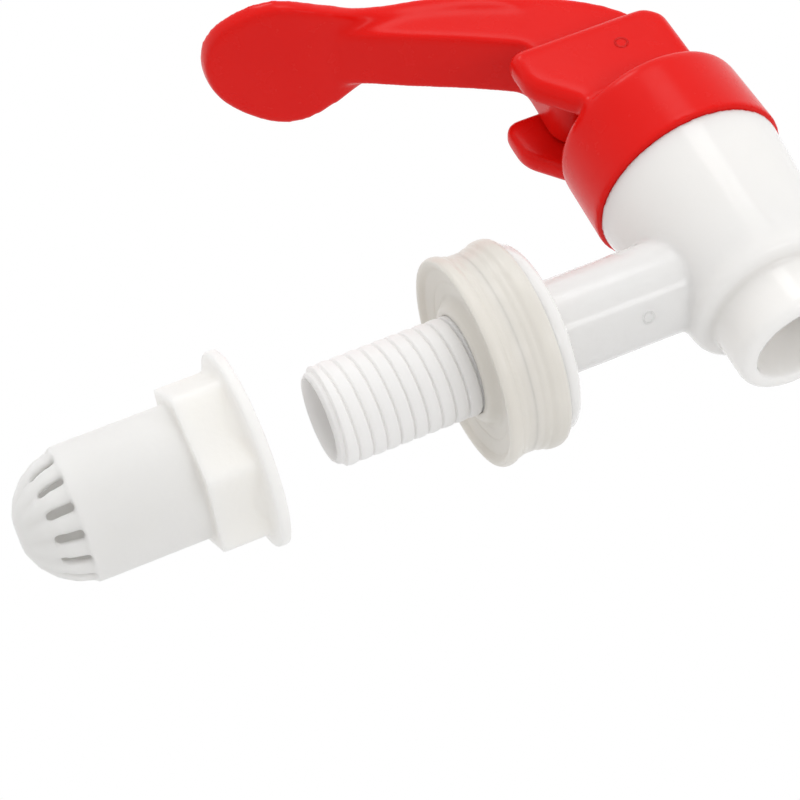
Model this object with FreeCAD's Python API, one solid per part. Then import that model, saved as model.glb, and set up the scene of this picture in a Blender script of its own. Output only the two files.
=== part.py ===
import FreeCAD, Part
import math
import os

# Frame: the origin is the centre of the flange's sealing face, on the shank axis.
# +Y runs along the shank to its threaded end, +Z runs up the barrel, X is the width.

# Shank, flange and tail
shank_to_barrel = 38.6
shank_outer_radius = 7.6
water_way_radius = 6.0
flange_radius = 15.6
flange_thickness = 3.2
flange_front_round = 2.2
tail_length = 33.6
tail_crest_radius = 8.0
tail_end_chamfer = 1.0
tail_neck_radius = 7.8
tail_neck_clearance = 0.2

# Barrel, spout and seat
seam_height = 16.6
barrel_top_radius = 16.1
barrel_foot_height = -9.8
barrel_foot_radius = 13.2
barrel_foot_round = 1.6
neck_radius = 14.0
neck_height = 9.9
chamber_radius = 11.4
chamber_floor_thickness = 2.8
seat_hole_radius = 5.5
seat_lip_width = 1.2
seat_lip_height = 0.8
spout_outer_radius = 10.6
spout_bore_radius = 7.8
spout_foot_height = -18.9
spout_rim_round = 1.2

# Bonnet
bonnet_foot_radius = 16.7
bonnet_top_radius = 16.3
bonnet_height = 14.4
bonnet_top_round = 1.4
neck_clearance = 0.1
seal_pocket_depth = 1.8
seal_pocket_radius = 4.2

# Ears
ear_gap = 13.0
ear_thickness = 4.4
ear_height = 15.2
ear_front = -9.2
ear_rear = 18.6
ear_front_bevel = 2.6
ear_corner_round = 2.4
ear_heel_radius = 5.5
ear_heel_height = 7.4
ear_root_rear = 12.0
ear_root_depth = 1.0
ear_edge_bevel = 1.3

# Lever
pivot_from_barrel = 8.5
pivot_height = 40.0
lever_side_clearance = 0.3
hub_radius = 4.6
trunnion_radius = 2.4
trunnion_length = 2.1
trunnion_clearance = 0.05
trunnion_end_clearance = 0.2
plate_thickness = 3.0
paddle_half_width = 13.7
arm_half_width = 6.7
paddle_tip = 61.0
nose_front = -6.4
nose_rise = 6.0
hub_fork_distance = 3.0
fork_heel_round = 2.0
fork_tip_round = 1.6
nose_round = 2.0

# The lever's outlines, by distance from the barrel axis: height over the pivot, and half width
plate_top_line = [(-7.2, 7.6), (-2.9, 13.2), (9.5, 21.2), (21.3, 26.3), (33.0, 28.6), (43.3, 29.2),
                  (50.0, 31.3), (61.5, 36.2)]
paddle_outline = [(20.0, arm_half_width), (31.0, 7.1), (37.0, 9.2), (43.3, 12.3), (49.0, paddle_half_width),
                  (54.5, 11.6), (58.8, 7.6), (paddle_tip, 0)]
web_under_line = [(41.5, 26.6), (20.4, 15.1, 40.0), (12.4, 10.2, 3.0)]

# Stem
stem_radius = 2.6
stem_guide_clearance = 0.05
stem_neck_radius = 1.6
stem_head_height = 2.6
stem_head_round = 0.9
stem_collar_radius = 6.6
stem_collar_height = 10.0
stem_collar_thickness = 1.5
stem_foot_radius = 2.2
stem_neck_drop = 1.8
barb_radius = 3.0
barb_height = 1.6
barb_lift = 1.2
barb_point_radius = 1.6
fork_crown_radius = 2.0
fork_crown_drop = 1.5
fork_slot_clearance = 0.35
stem_lift_gap = 0.15
head_pocket_clearance = 1.0
head_pocket_rise = 3.2
fork_slot_end_clearance = 0.9

# Seals, spring and plug
seal_height = 1.6
cap_seal_height = 1.4
cap_seal_width = 2.0
spring_wire_radius = 0.45
spring_wire_sides = 4
spring_mean_radius = 5.1
spring_turns = 4
plug_radius = 7.4
plug_height = 5.2
plug_gap = 0.1
plug_bevel = 0.8

# Washers
washer_radius = 16.9
washer_waist_radius = 15.8
washer_thickness = 5.3
washer_bore_clearance = 0.15
washer_lip_bevel = 0.6
washer_lip_drop = 1.4
washer_dish_depth = 2.4
washer_lip_width = 1.6
washer_band_width = 2.4
washer_step = 0.6
washer_hub_width = 1.9
washer_hub_rise = 1.2

# Strainer nut
nut_gap = 11.0
nut_flange_radius = 15.4
nut_flange_thickness = 1.8
nut_fillet = 2.2
hex_corner_radius = 13.9
hex_corner_round = 1.6
hex_length = 8.2
hex_turn = 10.0
sleeve_radius = 10.45
sleeve_length = 18.0
sleeve_wall = 1.5
nut_bore_clearance = 0.15
nut_grip_length = 10.0
dome_step = 0.3
dome_length = 8.7
dome_wall = 1.5
rib_count = 14
rib_groove_depth = 0.8
rib_shoulder_drop = 0.15
dome_rings = 5
dome_inner_rings = 3
slot_width = 1.3
slot_length = 4.2
slot_corner = 0.4

# Cutters reach this far past the faces that they open
past_face = 1.0

# Faces and edges this close are taken as touching
touch = 0.01

# Derived levels and places
barrel_y = -shank_to_barrel
neck_top = seam_height + neck_height
roof_under = neck_top + cap_seal_height
roof_top = seam_height + bonnet_height
ear_inner = ear_gap / 2
ear_outer = ear_inner + ear_thickness
chamber_floor = barrel_foot_height + chamber_floor_thickness
seat_level = chamber_floor + seat_lip_height
pivot_y = barrel_y + pivot_from_barrel
fork_crown_height = pivot_height - fork_crown_drop
fork_top = fork_crown_height + fork_crown_radius
fork_foot = fork_crown_height - fork_crown_radius
head_under = fork_top + stem_lift_gap
plug_foot = seat_level + plug_gap
nut_face = tail_length + nut_gap
sleeve_end = nut_face + nut_flange_thickness + hex_length + sleeve_length
tail_neck_length = 2 * washer_thickness + tail_neck_clearance
lever_half_width = ear_inner - lever_side_clearance
X_AXIS = FreeCAD.Vector(1, 0, 0)
Y_AXIS = FreeCAD.Vector(0, 1, 0)
Z_AXIS = FreeCAD.Vector(0, 0, 1)


def vec(x, y, z):
    return FreeCAD.Vector(x, y, z)


def line(a, b):
    return Part.makeLine(a, b)


def corner_cut(before, corner, after):
    """Start, middle and end of the arc that rounds a corner of (a, b, radius)."""
    a, b, radius = corner
    back = (before[0] - a, before[1] - b)
    ahead = (after[0] - a, after[1] - b)
    back_size = math.hypot(back[0], back[1])
    ahead_size = math.hypot(ahead[0], ahead[1])
    back = (back[0] / back_size, back[1] / back_size)
    ahead = (ahead[0] / ahead_size, ahead[1] / ahead_size)
    half = math.acos(back[0] * ahead[0] + back[1] * ahead[1]) / 2
    cut = radius / math.tan(half)
    depth = radius / math.sin(half) - radius
    middle = (back[0] + ahead[0], back[1] + ahead[1])
    middle_size = math.hypot(middle[0], middle[1])
    return [(a + back[0] * cut, b + back[1] * cut),
            (a + middle[0] / middle_size * depth, b + middle[1] / middle_size * depth),
            (a + ahead[0] * cut, b + ahead[1] * cut)]


def rounded_edges(corners, place, closed=True, flats=False):
    """Lines and arcs through corners of (a, b) or (a, b, radius); place turns (a, b) into a point.

    With flats, a round is two straight facets through its middle, which keeps a turned part light."""
    full = [corner if len(corner) == 3 else corner + (0,) for corner in corners]
    count = len(full)
    stops = []
    for i, corner in enumerate(full):
        if corner[2]:
            stops.append([place(*p) for p in corner_cut(full[i - 1], corner, full[(i + 1) % count])])
        else:
            stops.append([place(corner[0], corner[1])])
    edges = []
    for i, stop in enumerate(stops):
        if len(stop) == 3 and flats:
            edges += [line(stop[0], stop[1]), line(stop[1], stop[2])]
        elif len(stop) == 3:
            edges.append(Part.Arc(*stop).toShape())
        following = stops[(i + 1) % count]
        last_of_open = i == count - 1 and not closed
        if not last_of_open and stop[-1].distanceToPoint(following[0]) > 1e-6:
            edges.append(line(stop[-1], following[0]))
    return edges


def revolve_z(corners, axis_y):
    """Turn a closed outline of (radius, height[, round]) corners about the upright line at axis_y."""
    wire = Part.Wire(rounded_edges(corners, lambda r, z: vec(r, axis_y, z), flats=True))
    return Part.Face(wire).revolve(vec(0, axis_y, 0), Z_AXIS, 360)


def revolve_y(corners):
    """Turn a closed outline of (radius, y[, round]) corners about the shank axis."""
    wire = Part.Wire(rounded_edges(corners, lambda r, y: vec(r, y, 0), flats=True))
    return Part.Face(wire).revolve(vec(0, 0, 0), Y_AXIS, 360)


def polygon_face(points):
    return Part.Face(Part.makePolygon(points + points[:1]))


def cylinder_y(radius, start, end):
    return Part.makeCylinder(radius, end - start, vec(0, start, 0), Y_AXIS)


def cylinder_z(radius, low, high, axis_y):
    return Part.makeCylinder(radius, high - low, vec(0, axis_y, low), Z_AXIS)


def cylinder_x(radius, half_length, y, z):
    return Part.makeCylinder(radius, 2 * half_length, vec(-half_length, y, z), X_AXIS)


def box(x0, x1, y0, y1, z0, z1):
    return Part.makeBox(x1 - x0, y1 - y0, z1 - z0, vec(x0, y0, z0))


def side_face(corners, base_height):
    """A closed face in the YZ plane from (distance from barrel axis, height over base_height[, round]) corners."""
    return Part.Face(Part.Wire(rounded_edges(corners, lambda a, z: vec(0, barrel_y + a, base_height + z))))


def mirror_x(shape):
    return shape.mirror(vec(0, 0, 0), X_AXIS)


def save(shape, name):
    shape = shape.removeSplitter()
    solids = shape.Solids
    print(name, "solids", len(solids), "valid", shape.isValid(), "volume", round(shape.Volume, 1))
    if len(solids) == 1:
        shape = solids[0]
    shape.exportStep("parts/" + name + ".step")


# Tap body
def barrel_outside():
    outline = [(0, spout_foot_height), (spout_outer_radius, spout_foot_height, spout_rim_round)]
    outline += [(spout_outer_radius, barrel_foot_height)]
    outline += [(barrel_foot_radius, barrel_foot_height, barrel_foot_round)]
    outline += [(barrel_top_radius, seam_height), (neck_radius, seam_height)]
    outline += [(neck_radius, neck_top), (0, neck_top)]
    return revolve_z(outline, barrel_y)


def barrel_inside():
    lip_outer = seat_hole_radius + seat_lip_width
    outline = [(0, spout_foot_height - past_face), (spout_bore_radius, spout_foot_height - past_face)]
    outline += [(spout_bore_radius, barrel_foot_height), (seat_hole_radius, barrel_foot_height)]
    outline += [(seat_hole_radius, seat_level), (lip_outer, seat_level), (lip_outer, chamber_floor)]
    outline += [(chamber_radius, chamber_floor), (chamber_radius, neck_top + past_face)]
    outline += [(0, neck_top + past_face)]
    return revolve_z(outline, barrel_y)


def shank_outside():
    outline = [(0, barrel_y), (shank_outer_radius, barrel_y), (shank_outer_radius, -flange_thickness)]
    outline += [(flange_radius, -flange_thickness, flange_front_round), (flange_radius, 0)]
    outline += [(tail_neck_radius, 0), (tail_neck_radius, tail_neck_length), (tail_crest_radius, tail_neck_length)]
    outline += [(tail_crest_radius, tail_length - tail_end_chamfer)]
    outline += [(tail_crest_radius - tail_end_chamfer, tail_length), (0, tail_length)]
    return revolve_y(outline)


def make_tap_body():
    shell = barrel_outside().fuse(shank_outside())
    shell = shell.cut(barrel_inside())
    return shell.cut(cylinder_y(water_way_radius, barrel_y, tail_length + past_face))


# Bonnet and its ears
def ear_outline():
    """The ear from the side, with its heights over the bonnet's roof."""
    outline = [(ear_front, -ear_root_depth), (ear_root_rear, -ear_root_depth), (ear_root_rear, 0)]
    outline += [(ear_rear, ear_heel_height, ear_heel_radius), (ear_rear, ear_height, ear_corner_round)]
    outline += [(ear_front + ear_front_bevel, ear_height, ear_corner_round)]
    outline += [(ear_front, ear_height - ear_front_bevel, ear_corner_round)]
    return outline


def make_ear():
    face = side_face(ear_outline(), roof_top)
    face.translate(vec(ear_inner, 0, 0))
    ear = face.extrude(vec(ear_thickness, 0, 0))
    outer_edges = []
    for edge in ear.Edges:
        box_of = edge.BoundBox
        on_outside = box_of.XMin > ear_outer - touch
        above_root = box_of.ZMax > roof_top + touch
        if on_outside and above_root:
            outer_edges.append(edge)
    ear = ear.makeChamfer(ear_edge_bevel, outer_edges)
    socket_depth = trunnion_length + lever_side_clearance + trunnion_end_clearance
    socket = Part.makeCylinder(trunnion_radius + trunnion_clearance, socket_depth - lever_side_clearance,
                               vec(ear_inner, pivot_y, pivot_height), X_AXIS)
    return ear.cut(socket)


def make_bonnet():
    outline = [(0, seam_height), (bonnet_foot_radius, seam_height)]
    outline += [(bonnet_top_radius, roof_top, bonnet_top_round), (0, roof_top)]
    cap = revolve_z(outline, barrel_y)
    cap = cap.cut(cylinder_z(neck_radius + neck_clearance, seam_height - past_face, roof_under, barrel_y))
    ear = make_ear()
    cap = cap.fuse(ear).fuse(mirror_x(ear))
    cap = cap.cut(cylinder_z(stem_radius + stem_guide_clearance, roof_under - past_face, roof_top + past_face, barrel_y))
    return cap.cut(cylinder_z(seal_pocket_radius, roof_under - past_face, roof_under + seal_pocket_depth, barrel_y))


# Lever
def lever_point(a, rise):
    """A point in the lever's middle plane: distance from the barrel axis, height over the pivot."""
    return vec(0, barrel_y + a, pivot_height + rise)


def spline_edge(points):
    curve = Part.BSplineCurve()
    curve.interpolate([lever_point(a, rise) for a, rise in points])
    return curve.toShape()


def offset_down(points, distance):
    """The same line moved square to itself by the distance, on its lower side."""
    moved = []
    for i, point in enumerate(points):
        before = points[max(i - 1, 0)]
        after = points[min(i + 1, len(points) - 1)]
        run = after[0] - before[0]
        rise = after[1] - before[1]
        size = math.hypot(run, rise)
        moved.append((point[0] + distance * rise / size, point[1] - distance * run / size))
    return moved


def make_plate_slab():
    under = offset_down(plate_top_line, plate_thickness)
    upper_edge = spline_edge(plate_top_line)
    lower_edge = spline_edge(under)
    first = line(lever_point(*plate_top_line[0]), lever_point(*under[0]))
    last = line(lever_point(*plate_top_line[-1]), lever_point(*under[-1]))
    face = Part.Face(Part.Wire([first, lower_edge, last, upper_edge]))
    reach = paddle_half_width + past_face
    face.translate(vec(-reach, 0, 0))
    return face.extrude(vec(2 * reach, 0, 0))


def make_plan_prism():
    """The plate seen from above: straight between the ears, then widening into the oval paddle."""
    right = [vec(x, barrel_y + a, 0) for a, x in [(pivot_from_barrel, lever_half_width)] + paddle_outline]
    left = [vec(-point.x, point.y, 0) for point in reversed(right[:-1])]
    rim = Part.BSplineCurve()
    rim.interpolate(right + left)
    nose_right = vec(lever_half_width, barrel_y + nose_front, 0)
    nose_left = vec(-lever_half_width, barrel_y + nose_front, 0)
    sides = [line(nose_left, nose_right), line(nose_right, right[0])]
    face = Part.Face(Part.Wire(sides + [rim.toShape(), line(left[-1], nose_left)]))
    face.translate(vec(0, 0, roof_top))
    return face.extrude(vec(0, 0, 2 * pivot_height))


def make_plate():
    return make_plate_slab().common(make_plan_prism())


def make_web():
    """The deep rib under the plate: it fades into the paddle and ends in the hub between the ears."""
    under = offset_down(plate_top_line, plate_thickness / 2)
    top = [point for point in under if nose_front < point[0] < web_under_line[0][0]]
    hub_rear = pivot_from_barrel + hub_radius
    fork_low = fork_foot - pivot_height
    fork_high = fork_top - pivot_height
    outline = web_under_line + [(hub_rear, -hub_radius, hub_radius)]
    outline += [(hub_fork_distance, fork_low, fork_heel_round), (-hub_fork_distance, fork_low, fork_tip_round)]
    outline += [(nose_front, fork_high, nose_round), (nose_front, nose_rise)]
    face = side_face(outline + top, pivot_height)
    face.translate(vec(-lever_half_width, 0, 0))
    return face.extrude(vec(2 * lever_half_width, 0, 0))


def make_stem_pocket():
    """The slot round the stem's neck and the pocket over the fork for its head, open at the nose."""
    slot_half = stem_neck_radius + fork_slot_clearance
    head_half = stem_radius + head_pocket_clearance
    front = barrel_y + ear_front
    slot_end = barrel_y + slot_half + fork_slot_end_clearance
    slot = box(-slot_half, slot_half, front, slot_end, fork_foot - past_face, fork_top + past_face)
    pocket_roof = fork_top + stem_head_height + head_pocket_rise
    pocket = box(-head_half, head_half, front, barrel_y + head_half, fork_crown_height, pocket_roof)
    crown = cylinder_x(fork_crown_radius, head_half + past_face, barrel_y, fork_crown_height)
    return slot.fuse(pocket.cut(crown))


def make_lever():
    body = make_plate().fuse(make_web())
    body = body.fuse(cylinder_x(trunnion_radius, ear_inner + trunnion_length, pivot_y, pivot_height))
    return body.cut(make_stem_pocket())


# Stem, plug, seals and spring
def make_stem():
    head_top = head_under + stem_head_height
    neck_foot = fork_foot - stem_neck_drop
    collar_top = stem_collar_height
    collar_foot = collar_top - stem_collar_thickness
    barb_foot = plug_foot + barb_lift
    plug_top = plug_foot + plug_height
    outline = [(0, barb_foot), (barb_point_radius, barb_foot), (barb_radius, barb_foot + barb_height)]
    outline += [(stem_foot_radius, barb_foot + barb_height), (stem_foot_radius, plug_top)]
    outline += [(stem_radius, plug_top), (stem_radius, collar_foot), (stem_collar_radius, collar_foot)]
    outline += [(stem_collar_radius, collar_top), (stem_radius, collar_top), (stem_radius, neck_foot)]
    outline += [(stem_neck_radius, neck_foot), (stem_neck_radius, head_under), (stem_radius, head_under)]
    outline += [(stem_radius, head_top, stem_head_round), (0, head_top)]
    return revolve_z(outline, barrel_y)


def make_plug(stem):
    top = plug_foot + plug_height
    outline = [(0, plug_foot), (plug_radius - plug_bevel, plug_foot), (plug_radius, plug_foot + plug_bevel)]
    outline += [(plug_radius, top), (0, top)]
    return revolve_z(outline, barrel_y).cut(stem)


def make_ring_z(inner, outer, low, high):
    return revolve_z([(inner, low), (outer, low), (outer, high), (inner, high)], barrel_y)


def make_stem_seal():
    top = roof_under + seal_pocket_depth
    return make_ring_z(stem_radius + stem_guide_clearance, seal_pocket_radius, top - seal_height, top)


def make_cap_seal():
    return make_ring_z(neck_radius - cap_seal_width, neck_radius, neck_top, roof_under)


def make_spring():
    low = stem_collar_height + spring_wire_radius
    high = roof_under - spring_wire_radius
    pitch = (high - low) / spring_turns
    path = Part.makeHelix(pitch, high - low, spring_mean_radius)
    corners = []
    for i in range(spring_wire_sides):
        angle = 2 * math.pi * i / spring_wire_sides
        corners.append(vec(spring_mean_radius + spring_wire_radius * math.cos(angle), 0,
                           spring_wire_radius * math.sin(angle)))
    section = Part.makePolygon(corners + corners[:1])
    coil = Part.Wire(path).makePipeShell([section], True, True)
    coil.translate(vec(0, barrel_y, low))
    return coil


# Washers
def washer_outline(foot, rise):
    """Half of the pair: flat back at foot, lip and dish on the side that rise points to."""
    bore = tail_neck_radius + washer_bore_clearance
    hub_outer = bore + washer_hub_width
    rim_inner = washer_radius - washer_lip_width
    band_inner = rim_inner - washer_band_width
    dish = washer_thickness - washer_dish_depth
    outline = [(bore, 0), (washer_waist_radius, 0), (washer_radius, washer_thickness - washer_lip_drop)]
    outline += [(washer_radius - washer_lip_bevel, washer_thickness), (rim_inner, dish + washer_step)]
    outline += [(band_inner, dish + washer_step), (band_inner, dish), (hub_outer, dish)]
    outline += [(hub_outer, dish + washer_hub_rise), (bore, dish + washer_hub_rise)]
    return [(radius, foot + rise * height) for radius, height in outline]


def make_outer_washer():
    return revolve_y(washer_outline(washer_thickness, -1))


def make_inner_washer():
    return revolve_y(washer_outline(washer_thickness, 1))


# Strainer nut
def make_hexagon(start, end):
    corners = []
    for i in range(6):
        angle = math.radians(60 * i + hex_turn)
        corners.append(vec(hex_corner_radius * math.cos(angle), start, hex_corner_radius * math.sin(angle)))
    prism = polygon_face(corners).extrude(vec(0, end - start, 0))
    uprights = [edge for edge in prism.Edges if abs(edge.BoundBox.YLength - (end - start)) < touch]
    return prism.makeFillet(hex_corner_round, uprights)


def dome_sections(base_radius, length, start_y, rings):
    """(radius, y) of the dome's rings, on the ball whose cap has this base and length."""
    ball_radius = (base_radius ** 2 + length ** 2) / (2 * length)
    drop = ball_radius - length
    low = math.asin(drop / ball_radius)
    sections = []
    for i in range(rings):
        angle = low + (math.pi / 2 - low) * i / rings
        sections.append((ball_radius * math.cos(angle), start_y - drop + ball_radius * math.sin(angle)))
    return sections


def make_ribbed_dome(start_y):
    """The strainer's outside: flat facets between ribbed rings, all in one proportion, so ribs fade to the tip."""
    base_radius = sleeve_radius - dome_step
    levels = (base_radius - rib_groove_depth, base_radius - rib_shoulder_drop, base_radius,
              base_radius - rib_shoulder_drop)
    steps = rib_count * len(levels)
    rings = []
    for radius, y in dome_sections(base_radius, dome_length, start_y, dome_rings):
        points = []
        for i in range(steps):
            angle = 2 * math.pi * i / steps
            reach = radius * levels[i % len(levels)] / base_radius
            points.append(vec(reach * math.cos(angle), y, reach * math.sin(angle)))
        rings.append(points)
    facets = [polygon_face(rings[0]), polygon_face(rings[-1])]
    for ring, following in zip(rings, rings[1:]):
        for i in range(steps):
            ahead = (i + 1) % steps
            facets.append(polygon_face([ring[i], ring[ahead], following[ahead], following[i]]))
    return Part.makeSolid(Part.makeShell(facets))


def make_nut_shell():
    hex_start = nut_face + nut_flange_thickness
    hex_end = hex_start + hex_length
    foot_radius = hex_corner_radius * math.cos(math.pi / 6)
    outline = [(0, nut_face), (nut_flange_radius, nut_face), (nut_flange_radius, hex_start)]
    outline += [(foot_radius, hex_start, nut_fillet), (foot_radius, hex_end), (sleeve_radius, hex_end)]
    outline += [(sleeve_radius, sleeve_end), (0, sleeve_end)]
    hexagon = make_hexagon(hex_start - nut_flange_thickness / 2, hex_end)
    return revolve_y(outline).fuse([hexagon, make_ribbed_dome(sleeve_end)])


def make_nut_inside():
    bore = tail_crest_radius + nut_bore_clearance
    wide = sleeve_radius - sleeve_wall
    wide_start = nut_face + nut_grip_length
    outline = [(0, nut_face - past_face), (bore, nut_face - past_face), (bore, wide_start)]
    outline += [(wide, wide_start + wide - bore), (wide, sleeve_end - dome_wall)]
    outline += dome_sections(sleeve_radius - dome_step - dome_wall, dome_length - dome_wall, sleeve_end,
                             dome_inner_rings)
    outline += [(0, sleeve_end + dome_length - dome_wall)]
    return revolve_y(outline)


def make_slot():
    """One slot's cutter: a flat bar whose far end has its corners cut."""
    half = slot_width / 2
    end = sleeve_end + slot_length
    depth = sleeve_radius / 2
    outline = [(sleeve_end, -half), (end - slot_corner, -half), (end, slot_corner - half), (end, half - slot_corner),
               (end - slot_corner, half), (sleeve_end, half)]
    corners = [vec(depth, y, z) for y, z in outline]
    return polygon_face(corners).extrude(vec(sleeve_radius + past_face - depth, 0, 0))


def make_strainer_nut():
    slot = make_slot()
    cutters = [make_nut_inside()]
    for i in range(rib_count):
        copy = slot.copy()
        copy.rotate(vec(0, 0, 0), Y_AXIS, 360.0 * i / rib_count)
        cutters.append(copy)
    return make_nut_shell().cut(cutters)


os.makedirs("parts", exist_ok=True)
stem_shape = make_stem()
save(make_tap_body(), "tap_body")
save(make_bonnet(), "bonnet")
save(make_lever(), "lever")
save(stem_shape, "valve_stem")
save(make_plug(stem_shape), "seat_plug")
save(make_stem_seal(), "stem_seal")
save(make_cap_seal(), "cap_seal")
save(make_spring(), "return_spring")
save(make_outer_washer(), "outer_washer")
save(make_inner_washer(), "inner_washer")
save(make_strainer_nut(), "strainer_nut")
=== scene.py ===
import math

import bmesh
import bpy
from mathutils import Matrix, Quaternion, Vector


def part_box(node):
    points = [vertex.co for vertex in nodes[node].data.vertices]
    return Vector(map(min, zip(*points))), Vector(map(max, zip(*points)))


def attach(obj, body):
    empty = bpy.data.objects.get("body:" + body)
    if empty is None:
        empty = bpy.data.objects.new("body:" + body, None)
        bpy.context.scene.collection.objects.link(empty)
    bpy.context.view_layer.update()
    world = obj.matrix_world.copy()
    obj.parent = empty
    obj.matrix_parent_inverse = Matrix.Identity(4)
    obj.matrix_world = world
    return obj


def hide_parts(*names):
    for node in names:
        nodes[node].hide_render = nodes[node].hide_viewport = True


MM = 0.001

# Thread on the tail: rounded crests and narrow roots
TAIL_CREST_RADIUS = 8.0 * MM
TAIL_NECK_RADIUS = 7.8 * MM
TAIL_LEAD_RADIUS = 7.25 * MM
TAIL_LEAD_LENGTH = 1.3 * MM
TAIL_LEAD_SLOPE = 3
TAIL_END_CHAMFER = 0.5 * MM
WATER_WAY_RADIUS = 6.0 * MM
WATER_WAY_MOUTH = 6.5 * MM
THREAD_CROWN = 0.16 * MM
THREAD_DEPTH = 0.42 * MM
THREAD_PITCH = 2.25 * MM
GROOVE_SHARE = 0.24
THREAD_START = 9.5 * MM
THREAD_RUN_IN = 1.0 * MM
THREAD_STEP = 0.08 * MM
ROUND_STEPS = 144

# Nut thread: cut outward from the bore
NUT_BORE_RADIUS = 8.15 * MM
NUT_THREAD_START = 1.4 * MM
NUT_THREAD_LENGTH = 8.0 * MM
NUT_THREAD_DEPTH = 0.55 * MM
# The nut is turned on its own axis by one of the dome's fourteen slots
NUT_TURN = 2 * math.pi / 14

# Silicone washers: one turned outline of (radius, height over the flat back), in mm
WASHER_OUTLINE = [
    (7.7, -0.3), (16.04, -0.3), (16.06, 0.3), (16.08, 0.8), (16.1, 1.3), (16.35, 1.9), (16.4, 2.5),
    (16.8, 3.3), (16.88, 4.2), (16.8, 4.9), (16.5, 5.5), (15.9, 5.4), (15.2, 4.7), (14.9, 4.35),
    (12.9, 3.7), (12.7, 3.5), (11.0, 3.3), (10.2, 3.5), (9.4, 4.4), (8.8, 4.8), (7.7, 4.8)]
# Outside the hub and over the waist, the inner washer keeps this share of its rise
WASHER_HUB_RADIUS = 10.3
WASHER_WAIST_HEIGHT = 2.2
INNER_LIP = 0.75
# The outline's corners are cut this often, each time at this share of both sides
CORNER_PASSES = 3
CORNER_SHARE = 0.2

# Softened moulded pieces: cells that rebuild the mesh, and smoothing passes that round its edges
RED_CELL = 0.36 * MM
BODY_CELL = 0.40 * MM
NUT_CELL = 0.30 * MM
BODY_PASSES = 8
BONNET_PASSES = 18
LEVER_PASSES = 20
NUT_PASSES = 5
SMOOTHING = 0.5
SHARP_ANGLE = math.radians(32)
# Edges within this reach of the seam between bonnet and barrel get only the crisp passes
SEAM_REACH = 1.6 * MM
CRISP_PASSES = 3
# Where the lever's web runs out under the paddle, on the +X side
WEB_TIP = Vector((6.8, -4.5, 66.2)) * MM
WEB_TIP_REACH = 6.5 * MM
WEB_TIP_PASSES = 24

# Moulded surface: sizes of its noises, and height of its bumps
CLOUD_SCALE = 70.0
RUB_SCALE = 260.0
PEEL_SCALE = 900.0
BUMP_HEIGHT = 0.3 * MM
MARK_STRENGTH = 0.9
MARK_LINE = 0.25 * MM

# Gate marks, each a fine raised ring: where it lies, and its radius
SHANK_MARK = (Vector((-3.7, -18.2, -6.65)) * MM, 0.9 * MM)
EAR_MARK = (Vector((-10.9, -37.8, 39.8)) * MM, 1.0 * MM)

# Camera: its place, the point that it looks at, its turn about the line of sight and its lens
CAMERA_PLACE = Vector((-270.0, 97.7, -174.5)) * MM
CAMERA_TARGET = Vector((0.0, 21.2, -1.9)) * MM
CAMERA_ROLL = 29.64
CAMERA_LENS = 99.0
CAMERA_SENSOR = 36.0
CAMERA_NEAR = 0.01
CAMERA_FAR = 100

# Floor and world
FLOOR_HEIGHT = -700 * MM
FLOOR_SIDE = 40.0
FLOOR_SCALE = 6.0
FLOOR_TONES = (0.92, 0.92, 0.92, 1), (0.95, 0.95, 0.95, 1)
FLOOR_ROUGHNESS = 0.8
WHITE_LIGHT = (1, 1, 1, 1)
SEEN_STRENGTH = 1.0
LIT_STRENGTH = 0.80

# Lamps: shares of left, up and near in the direction from the target, distance, sides, power
LAMPS = [("overhead_light", (0.0, 0.92, 0.38), 0.65, (0.24, 0.24), 0.62),
         ("side_light", (-0.61, 0.086, 0.79), 0.7, (0.40, 0.14), 0.88),
         ("edge_light", (0.40, 0.91, 0.02), 0.65, (0.20, 0.03), 0.5)]


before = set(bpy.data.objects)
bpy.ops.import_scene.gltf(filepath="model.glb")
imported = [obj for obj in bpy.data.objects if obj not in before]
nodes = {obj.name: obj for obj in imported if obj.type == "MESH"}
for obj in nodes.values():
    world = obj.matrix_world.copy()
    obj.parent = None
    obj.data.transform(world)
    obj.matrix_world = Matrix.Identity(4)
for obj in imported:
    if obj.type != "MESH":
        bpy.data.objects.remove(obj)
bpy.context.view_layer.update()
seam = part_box("bonnet")[0].z


# Shader groups
def new_group(name, inputs, outputs):
    """An empty node group with (name, kind, default) inputs and (name, kind) outputs."""
    group = bpy.data.node_groups.new(name, "ShaderNodeTree")
    for label, kind, value in inputs:
        socket = group.interface.new_socket(label, in_out="INPUT", socket_type=kind)
        socket.default_value = value
    for label, kind in outputs:
        group.interface.new_socket(label, in_out="OUTPUT", socket_type=kind)
    return group


def add(tree, kind, **values):
    """A node whose sockets, named by values, get a number, a colour or another node's output."""
    node = tree.nodes.new(kind)
    for label, value in values.items():
        feed(tree, node.inputs[label.replace("_", " ")], value)
    return node


def feed(tree, socket, value):
    if isinstance(value, bpy.types.NodeSocket):
        tree.links.new(value, socket)
    else:
        socket.default_value = value


def math_node(tree, operation, first, second=0.0, clamp=False):
    node = tree.nodes.new("ShaderNodeMath")
    node.operation = operation
    node.use_clamp = clamp
    feed(tree, node.inputs[0], first)
    feed(tree, node.inputs[1], second)
    return node.outputs[0]


def mix_colour(tree, share, first, second):
    node = tree.nodes.new("ShaderNodeMix")
    node.data_type = "RGBA"
    feed(tree, node.inputs[0], share)
    feed(tree, node.inputs[6], first)
    feed(tree, node.inputs[7], second)
    return node.outputs[2]


def noise(tree, place, scale, detail):
    texture = add(tree, "ShaderNodeTexNoise", Vector=place, Scale=scale, Detail=detail)
    return texture.outputs[0]


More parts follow.
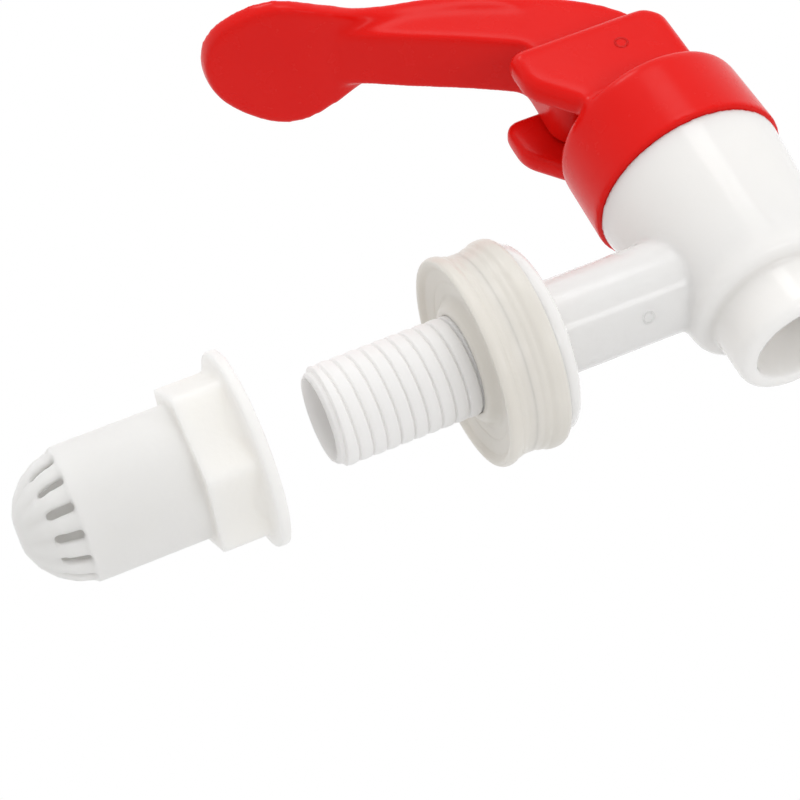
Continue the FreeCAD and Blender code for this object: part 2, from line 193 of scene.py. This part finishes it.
def moulding_group():
    """Moulded plastic: a cloudy tone, a faint orange peel and one round gate mark."""
    inputs = [("Colour", "NodeSocketColor", (1, 1, 1, 1)),
              ("Cloud", "NodeSocketColor", (1, 1, 1, 1)),
              ("Gloss", "NodeSocketFloat", 0.3),
              ("Rub", "NodeSocketFloat", 0.1),
              ("Peel", "NodeSocketFloat", 0.1),
              ("Mark Place", "NodeSocketVector", (0, 0, 1)),
              ("Mark Radius", "NodeSocketFloat", 0.001)]
    outputs = [("Colour", "NodeSocketColor"),
               ("Roughness", "NodeSocketFloat"),
               ("Normal", "NodeSocketVector")]
    group = new_group("moulding", inputs, outputs)
    given = group.nodes.new("NodeGroupInput").outputs
    place = group.nodes.new("ShaderNodeTexCoord").outputs["Object"]
    cloud = noise(group, place, CLOUD_SCALE, 3.0)
    rub = noise(group, place, RUB_SCALE, 4.0)
    peel = noise(group, place, PEEL_SCALE, 2.0)
    away = group.nodes.new("ShaderNodeVectorMath")
    away.operation = "DISTANCE"
    feed(group, away.inputs[0], place)
    feed(group, away.inputs[1], given["Mark Place"])
    beyond = math_node(group, "SUBTRACT", away.outputs["Value"], given["Mark Radius"])
    off_ring = math_node(group, "MULTIPLY", math_node(group, "ABSOLUTE", beyond), 1 / MARK_LINE)
    ring = math_node(group, "SUBTRACT", 1.0, off_ring, clamp=True)
    raised = add(group, "ShaderNodeBump", Strength=MARK_STRENGTH, Distance=BUMP_HEIGHT,
                 Height=ring).outputs[0]
    bump = add(group, "ShaderNodeBump", Strength=given["Peel"], Distance=BUMP_HEIGHT,
               Height=peel, Normal=raised)
    roughness = math_node(group, "MULTIPLY_ADD", rub, given["Rub"])
    group.links.new(given["Gloss"], roughness.node.inputs[2])
    end = group.nodes.new("NodeGroupOutput")
    feed(group, end.inputs["Colour"], mix_colour(group, cloud, given["Colour"], given["Cloud"]))
    feed(group, end.inputs["Roughness"], roughness)
    feed(group, end.inputs["Normal"], bump.outputs[0])
    return group


MOULDING = moulding_group()


def plastic(name, look, shader, mark=None):
    """A moulded plastic: look feeds the moulding group, shader the Principled BSDF's sockets."""
    material = bpy.data.materials.new(name)
    material.use_nodes = True
    tree = material.node_tree
    surface = tree.nodes["Principled BSDF"]
    marks = tree.nodes.new("ShaderNodeGroup")
    marks.node_tree = MOULDING
    for label, value in look.items():
        marks.inputs[label].default_value = value
    if mark:
        marks.inputs["Mark Place"].default_value = mark[0]
        marks.inputs["Mark Radius"].default_value = mark[1]
    for label in ("Roughness", "Normal"):
        tree.links.new(marks.outputs[label], surface.inputs[label])
    tree.links.new(marks.outputs["Colour"], surface.inputs["Base Color"])
    for label, value in shader.items():
        surface.inputs[label].default_value = value
    return material


WHITE = plastic("white_plastic",
                {"Colour": (0.84, 0.825, 0.805, 1), "Cloud": (0.87, 0.855, 0.835, 1),
                 "Gloss": 0.09, "Rub": 0.09, "Peel": 0.04},
                {"Subsurface Weight": 1.0, "Subsurface Radius": (0.0035, 0.0035, 0.0035),
                 "Subsurface Scale": 1.0, "Specular IOR Level": 0.28}, SHANK_MARK)
THREAD_WHITE = plastic("white_plastic_thread",
                       {"Colour": (0.885, 0.87, 0.855, 1), "Cloud": (0.905, 0.89, 0.875, 1),
                        "Gloss": 0.42, "Rub": 0.14, "Peel": 0.08},
                       {"Subsurface Weight": 0.85, "Subsurface Radius": (0.0035, 0.0035, 0.0035),
                        "Subsurface Scale": 1.0, "Specular IOR Level": 0.2})
NUT_WHITE = plastic("nut_plastic",
                    {"Colour": (0.86, 0.845, 0.81, 1), "Cloud": (0.885, 0.87, 0.84, 1),
                     "Gloss": 0.42, "Rub": 0.14, "Peel": 0.10},
                    {"Subsurface Weight": 1.0, "Subsurface Radius": (0.0042, 0.0042, 0.0042),
                     "Subsurface Scale": 1.0, "Specular IOR Level": 0.25})
RED = plastic("red_plastic",
              {"Colour": (0.72, 0.006, 0.004, 1), "Cloud": (0.77, 0.010, 0.007, 1),
               "Gloss": 0.20, "Rub": 0.12, "Peel": 0.05},
              {"Subsurface Weight": 0.15, "Subsurface Radius": (0.003, 0.0008, 0.0005),
               "Subsurface Scale": 1.0, "Specular IOR Level": 0.13}, EAR_MARK)
CLEAR = plastic("clear_silicone",
                {"Colour": (0.655, 0.625, 0.57, 1), "Cloud": (0.80, 0.77, 0.715, 1),
                 "Gloss": 0.26, "Rub": 0.14, "Peel": 0.08},
                {"Subsurface Weight": 0.4, "Subsurface Radius": (0.002, 0.002, 0.002),
                 "Subsurface Scale": 1.0, "IOR": 1.41, "Specular IOR Level": 0.35})
MILKY = plastic("milky_silicone",
                {"Colour": (0.68, 0.66, 0.60, 1), "Cloud": (0.74, 0.72, 0.67, 1),
                 "Gloss": 0.40, "Rub": 0.15, "Peel": 0.12}, {})
STEEL = plastic("spring_steel",
                {"Colour": (0.50, 0.50, 0.50, 1), "Cloud": (0.62, 0.62, 0.61, 1),
                 "Gloss": 0.28, "Rub": 0.14, "Peel": 0.10}, {"Metallic": 1.0})

FINISHES = {"tap_body": WHITE, "valve_stem": WHITE, "strainer_nut": NUT_WHITE,
            "bonnet": RED, "lever": RED, "return_spring": STEEL,
            "seat_plug": MILKY, "stem_seal": MILKY, "cap_seal": MILKY,
            "outer_washer": CLEAR, "inner_washer": CLEAR}
for node_name, finish in FINISHES.items():
    nodes[node_name].data.materials.clear()
    nodes[node_name].data.materials.append(finish)


# Pieces that stand for a node
def add_piece(mesh, material, body, node):
    """A smooth piece of this mesh that rides on a body and stands for a CAD node."""
    piece = bpy.data.objects.new(mesh.name, mesh)
    bpy.context.collection.objects.link(piece)
    mesh.materials.clear()
    mesh.materials.append(material)
    mesh.polygons.foreach_set("use_smooth", [True] * len(mesh.polygons))
    mesh.set_sharp_from_angle(angle=SHARP_ANGLE)
    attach(piece, body)
    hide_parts(node)


def turned_faces(rows, steps):
    """Faces of a turned grid of rows of points that closes on its first row."""
    faces = []
    for row in range(rows):
        following = (row + 1) % rows
        for i in range(steps):
            ahead = (i + 1) % steps
            faces.append((row * steps + i, following * steps + i,
                          following * steps + ahead, row * steps + ahead))
    return faces


def turned_points(outline):
    """Points of an outline of (radius, y) turned about the shank axis."""
    points = []
    for radius, y in outline:
        for i in range(ROUND_STEPS):
            angle = 2 * math.pi * i / ROUND_STEPS
            points.append((radius * math.cos(angle), y, radius * math.sin(angle)))
    return points


def cut_corners(outline, passes):
    """The closed outline with its corners cut again and again, which rounds them."""
    for _ in range(passes):
        rounded = []
        for i, point in enumerate(outline):
            ahead = outline[(i + 1) % len(outline)]
            for share in (CORNER_SHARE, 1 - CORNER_SHARE):
                rounded.append([a + (b - a) * share for a, b in zip(point, ahead)])
        outline = rounded
    return outline


def make_washer(name, node, back, rise, lip=1.0):
    """A soft washer turned about the shank axis.

    Its back lies at the given y, its dish opens to the side of rise, and lip scales its lip."""
    outline = []
    for radius, height in WASHER_OUTLINE:
        if radius > WASHER_HUB_RADIUS and height > WASHER_WAIST_HEIGHT:
            height = WASHER_WAIST_HEIGHT + lip * (height - WASHER_WAIST_HEIGHT)
        outline.append((radius * MM, back + rise * height * MM))
    outline = cut_corners(outline, CORNER_PASSES)
    faces = turned_faces(len(outline), ROUND_STEPS)
    if rise < 0:
        faces = [face[::-1] for face in faces]
    mesh = bpy.data.meshes.new(name)
    mesh.from_pydata(turned_points(outline), [], faces)
    add_piece(mesh, CLEAR, "tap", node)


def smooth_passes(work, passes, chosen):
    for _ in range(passes):
        bmesh.ops.smooth_vert(work, verts=chosen, factor=SMOOTHING,
                              use_axis_x=True, use_axis_y=True, use_axis_z=True)


def softened(node, cell, passes, kept=None):
    """A node's mesh rebuilt in small cells and smoothed, which rounds edges and fills corners.

    Where kept(point) holds, only the crisp passes touch it, so that seams stay crisp."""
    copy = bpy.data.objects.new(node + "_cells", nodes[node].data.copy())
    bpy.context.collection.objects.link(copy)
    remesh = copy.modifiers.new("cells", "REMESH")
    remesh.mode = "VOXEL"
    remesh.voxel_size = cell
    rebuilt = copy.evaluated_get(bpy.context.evaluated_depsgraph_get())
    mesh = bpy.data.meshes.new_from_object(rebuilt)
    bpy.data.objects.remove(copy)
    work = bmesh.new()
    work.from_mesh(mesh)
    bpy.data.meshes.remove(mesh)
    free = [vertex for vertex in work.verts if kept is None or not kept(vertex.co)]
    smooth_passes(work, CRISP_PASSES, work.verts)
    smooth_passes(work, passes - CRISP_PASSES, free)
    return work


def finish_piece(name, work, material, body, node):
    mesh = bpy.data.meshes.new(name)
    work.to_mesh(mesh)
    work.free()
    add_piece(mesh, material, body, node)


def groove(y, angle):
    """Share of the thread's depth at a point, 0 on the crest and 1 at the root.

    The second number is the distance off the crest, from 0 to 1."""
    turn = (y / THREAD_PITCH - angle / (2 * math.pi)) % 1
    off_crest = abs(turn - 0.5) * 2
    into = max(off_crest - (1 - GROOVE_SHARE), 0) / GROOVE_SHARE
    return (1 - math.cos(math.pi * into)) / 2, off_crest


def thread_radius(y, angle, end):
    """Radius of the threaded tail at a point: run-in, turns, plain lead and the end's bevel."""
    depth, off_crest = groove(y, angle)
    radius = TAIL_CREST_RADIUS - THREAD_DEPTH * depth - THREAD_CROWN * off_crest ** 2
    share = min((y - THREAD_START) / THREAD_RUN_IN, 1)
    radius = TAIL_NECK_RADIUS + (radius - TAIL_NECK_RADIUS) * share
    past_lead = y - (end - TAIL_LEAD_LENGTH)
    lead = min(TAIL_LEAD_RADIUS, TAIL_LEAD_RADIUS - (y - (end - TAIL_END_CHAMFER)))
    return min(radius, max(lead, TAIL_CREST_RADIUS - TAIL_LEAD_SLOPE * max(past_lead, 0)))


def add_thread(work, end):
    """The threaded tail as a closed tube: thread outside, water way with a widened mouth inside."""
    rows = int(round((end - THREAD_START) / THREAD_STEP))
    angles = [2 * math.pi * i / ROUND_STEPS for i in range(ROUND_STEPS)]
    rings = []
    for row in range(rows + 1):
        y = THREAD_START + (end - THREAD_START) * row / rows
        rings.append((y, [thread_radius(y, angle, end) for angle in angles]))
    for y, radius in ((end, WATER_WAY_MOUTH), (end - TAIL_LEAD_LENGTH, WATER_WAY_RADIUS),
                      (THREAD_START, WATER_WAY_RADIUS)):
        rings.append((y, [radius] * ROUND_STEPS))
    grid = []
    for y, radii in rings:
        for angle, radius in zip(angles, radii):
            grid.append(work.verts.new((radius * math.sin(angle), y, radius * math.cos(angle))))
    for face in turned_faces(len(rings), ROUND_STEPS):
        work.faces.new([grid[i] for i in face])


def make_tap_body():
    """Soft-edged body, cut off under the washers, with the threaded tail on it."""
    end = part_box("tap_body")[1].y
    work = softened("tap_body", BODY_CELL, BODY_PASSES, lambda co: abs(co.z - seam) < SEAM_REACH)
    cut = THREAD_START + BODY_CELL
    gone = [face for face in work.faces if max(vertex.co.y for vertex in face.verts) > cut]
    bmesh.ops.delete(work, geom=gone, context="FACES")
    finish_piece("tap_body_moulded", work, WHITE, "tap", "tap_body")
    tail = bmesh.new()
    add_thread(tail, end)
    finish_piece("tail_threaded", tail, THREAD_WHITE, "tap", "tap_body")


def make_nut():
    """Softened strainer nut with the thread cut into its bore."""
    work = softened("strainer_nut", NUT_CELL, NUT_PASSES)
    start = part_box("strainer_nut")[0].y + NUT_THREAD_START
    for vertex in work.verts:
        place = vertex.co
        radius = math.hypot(place.x, place.z)
        run = min(place.y - start, start + NUT_THREAD_LENGTH - place.y)
        if run > 0 and radius < NUT_BORE_RADIUS + NUT_CELL:
            share = groove(place.y, math.atan2(place.x, place.z))[0] * min(run / THREAD_RUN_IN, 1)
            grow = (radius + NUT_THREAD_DEPTH * share) / radius
            vertex.co = Vector((place.x * grow, place.y, place.z * grow))
    turn = Matrix.Rotation(NUT_TURN, 3, "Y")
    bmesh.ops.rotate(work, verts=work.verts, cent=(0, 0, 0), matrix=turn)
    finish_piece("strainer_nut_moulded", work, NUT_WHITE, "nut", "strainer_nut")


def make_lever():
    """Softened lever; its web fades into the paddle's underside."""
    work = softened("lever", RED_CELL, LEVER_PASSES)
    for side in (-1, 1):
        tip = Vector((side * WEB_TIP.x, WEB_TIP.y, WEB_TIP.z))
        for turn in range(WEB_TIP_PASSES):
            reach = WEB_TIP_REACH * (1 - turn / WEB_TIP_PASSES)
            near = [vertex for vertex in work.verts if (vertex.co - tip).length < reach]
            smooth_passes(work, 1, near)
    finish_piece("lever_moulded", work, RED, "lever", "lever")


def make_bonnet():
    """Softened bonnet with a crisp foot on the barrel."""
    work = softened("bonnet", RED_CELL, BONNET_PASSES, lambda co: co.z - seam < SEAM_REACH)
    finish_piece("bonnet_moulded", work, RED, "tap", "bonnet")


make_tap_body()
make_bonnet()
make_lever()
make_nut()
washer_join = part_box("outer_washer")[1].y
make_washer("outer_washer_soft", "outer_washer", washer_join, -1)
make_washer("inner_washer_soft", "inner_washer", washer_join, 1, INNER_LIP)


# Stage, light and camera
def look_at(thing, target):
    thing.rotation_mode = "QUATERNION"
    thing.rotation_quaternion = (target - thing.location).to_track_quat("-Z", "Y")


def make_floor():
    bpy.ops.mesh.primitive_plane_add(size=FLOOR_SIDE, location=(0, 0, FLOOR_HEIGHT))
    floor = bpy.context.object
    floor.name = "floor"
    material = bpy.data.materials.new("floor")
    material.use_nodes = True
    tree = material.node_tree
    place = tree.nodes.new("ShaderNodeTexCoord").outputs["Object"]
    tone = mix_colour(tree, noise(tree, place, FLOOR_SCALE, 4.0), *FLOOR_TONES)
    surface = tree.nodes["Principled BSDF"]
    tree.links.new(tone, surface.inputs["Base Color"])
    surface.inputs["Roughness"].default_value = FLOOR_ROUGHNESS
    floor.data.materials.append(material)


def make_world():
    """White behind the object, softer light on it."""
    world = bpy.data.worlds.new("studio")
    bpy.context.scene.world = world
    world.use_nodes = True
    tree = world.node_tree
    tree.nodes.clear()
    path = tree.nodes.new("ShaderNodeLightPath").outputs
    seen = add(tree, "ShaderNodeBackground", Color=WHITE_LIGHT, Strength=SEEN_STRENGTH).outputs[0]
    lit = add(tree, "ShaderNodeBackground", Color=WHITE_LIGHT, Strength=LIT_STRENGTH).outputs[0]
    share = math_node(tree, "MAXIMUM", path["Is Camera Ray"], path["Is Transmission Ray"])
    share = math_node(tree, "MAXIMUM", share, path["Is Glossy Ray"])
    mix = tree.nodes.new("ShaderNodeMixShader")
    tree.links.new(share, mix.inputs[0])
    tree.links.new(lit, mix.inputs[1])
    tree.links.new(seen, mix.inputs[2])
    end = tree.nodes.new("ShaderNodeOutputWorld")
    tree.links.new(mix.outputs[0], end.inputs["Surface"])


def make_camera():
    camera = bpy.data.objects.new("camera", bpy.data.cameras.new("camera"))
    bpy.context.collection.objects.link(camera)
    camera.location = CAMERA_PLACE
    look_at(camera, CAMERA_TARGET)
    sight = (CAMERA_TARGET - CAMERA_PLACE).normalized()
    roll = Quaternion(sight, math.radians(CAMERA_ROLL))
    camera.rotation_quaternion = roll @ camera.rotation_quaternion
    camera.data.lens = CAMERA_LENS
    camera.data.sensor_width = CAMERA_SENSOR
    camera.data.clip_start = CAMERA_NEAR
    camera.data.clip_end = CAMERA_FAR
    bpy.context.scene.camera = camera
    return camera


def softbox(camera, name, shares, distance, sides, power):
    """A flat light; the shares of its direction go along the camera's own axes."""
    left, up, near = shares
    direction = (camera.rotation_quaternion @ Vector((-left, up, near))).normalized()
    lamp = bpy.data.lights.new(name, "AREA")
    lamp.shape = "RECTANGLE"
    lamp.size, lamp.size_y = sides
    lamp.energy = power
    light = bpy.data.objects.new(name, lamp)
    bpy.context.collection.objects.link(light)
    light.location = CAMERA_TARGET + direction * distance
    look_at(light, CAMERA_TARGET)


make_floor()
make_world()
view_camera = make_camera()
for lamp_row in LAMPS:
    softbox(view_camera, *lamp_row)
bpy.context.scene.view_settings.view_transform = "Standard"
